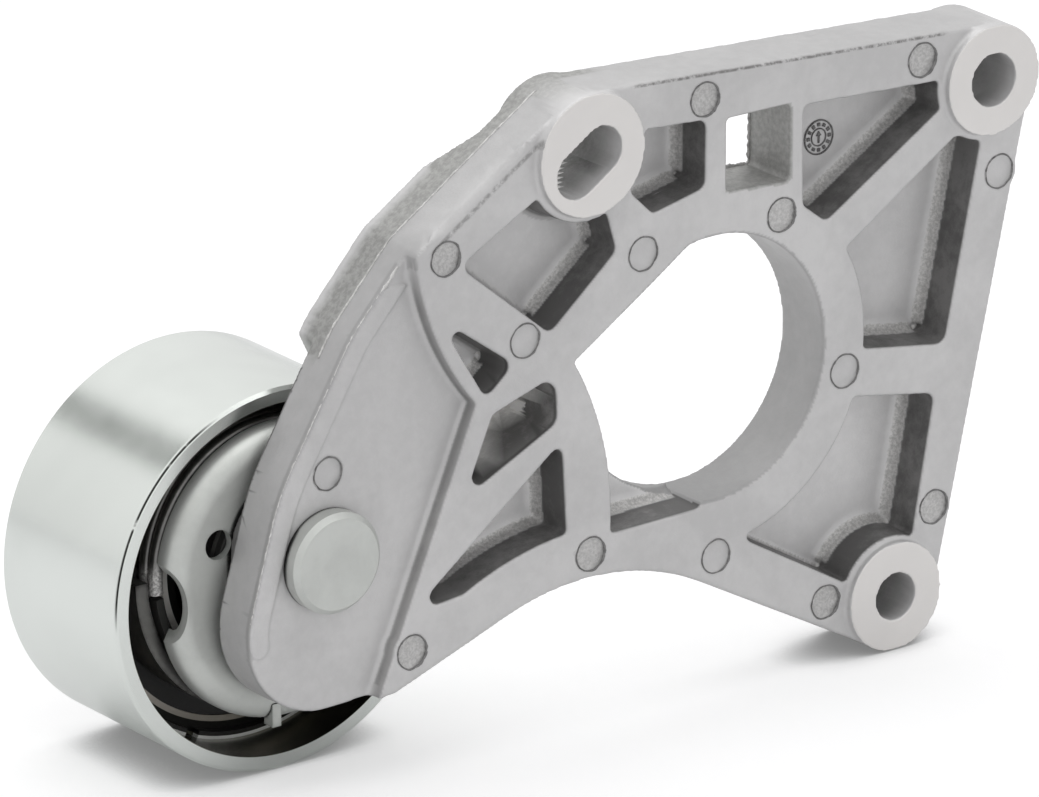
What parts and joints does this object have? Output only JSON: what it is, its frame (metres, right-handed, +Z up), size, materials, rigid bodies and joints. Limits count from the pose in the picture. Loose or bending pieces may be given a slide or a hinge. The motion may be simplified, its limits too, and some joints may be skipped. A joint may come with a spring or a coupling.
{
  "type": "timing belt tensioner pulley",
  "caption": "Ribbed die-cast bracket with a sprung eccentric tensioner and a smooth steel belt pulley on a sealed ball bearing.",
  "frame": {"origin": "centre of the lower bolt hole in the plane of the mounting faces", "axes": "+Y along the bolt holes away from the engine, towards the pulley; +Z up as the part stands on the pulley and the lower boss; +X from the pulley towards the bolt holes"},
  "size_m": [0.1834, 0.0524, 0.1157],
  "materials": {
    "cast_aluminium": "as die cast, satin",
    "zinc_plate": "zinc plated, satin",
    "pulley_steel": "zinc plated and turned",
    "spring_wire": "oiled dark spring steel",
    "dark_steel": "phosphated steel",
    "bearing_steel": "ground bearing steel",
    "seal_rubber": "matt black",
    "guide_plastic": "matt black nylon",
    "cage_plastic": "natural nylon",
    "drum_steel": "turned, bright"
  },
  "bodies": {
    "frame": {"bracket": "cast_aluminium", "pivot_pin": "zinc_plate", "eccentric_hub": "bearing_steel", "end_washer": "zinc_plate", "front_friction_washer": "guide_plastic", "rear_friction_washer": "guide_plastic", "spring_plate": "zinc_plate"},
    "arm": {"tensioner_arm": "dark_steel", "pivot_bush": "guide_plastic", "spring_guide": "drum_steel", "torsion_spring": "spring_wire", "arm_retaining_ring": "dark_steel", "bearing_inner_ring": "bearing_steel"},
    "rim": {"pulley": "pulley_steel", "bearing_outer_ring": "bearing_steel", "pulley_retaining_ring": "zinc_plate", "front_seal": "seal_rubber", "rear_seal": "seal_rubber"},
    "balls": {"ball_cage": "cage_plastic", "bearing_balls": "bearing_steel"}
  },
  "joints": [
    {"name": "arm_swing", "type": "hinge", "parent": "frame", "child": "arm", "pos_m": [-0.1191, 0.035, 0.0285], "axis": [0, 1, 0], "range_deg": [0, 70], "stiffness_Nm_per_rad": 1, "springref_deg": -45.84, "deforming": ["torsion_spring"]},
    {"name": "pulley_spin", "type": "hinge", "parent": "arm", "child": "rim", "pos_m": [-0.1185, 0.035, 0.02446], "axis": [0, 1, 0], "continuous": true},
    {"name": "cage_spin", "type": "hinge", "parent": "arm", "child": "balls", "pos_m": [-0.1185, 0.035, 0.02446], "axis": [0, 1, 0], "continuous": true}
  ],
  "couplings": [
    {"joint": "cage_spin", "follows": "pulley_spin", "ratio": 0.5897}
  ]
}
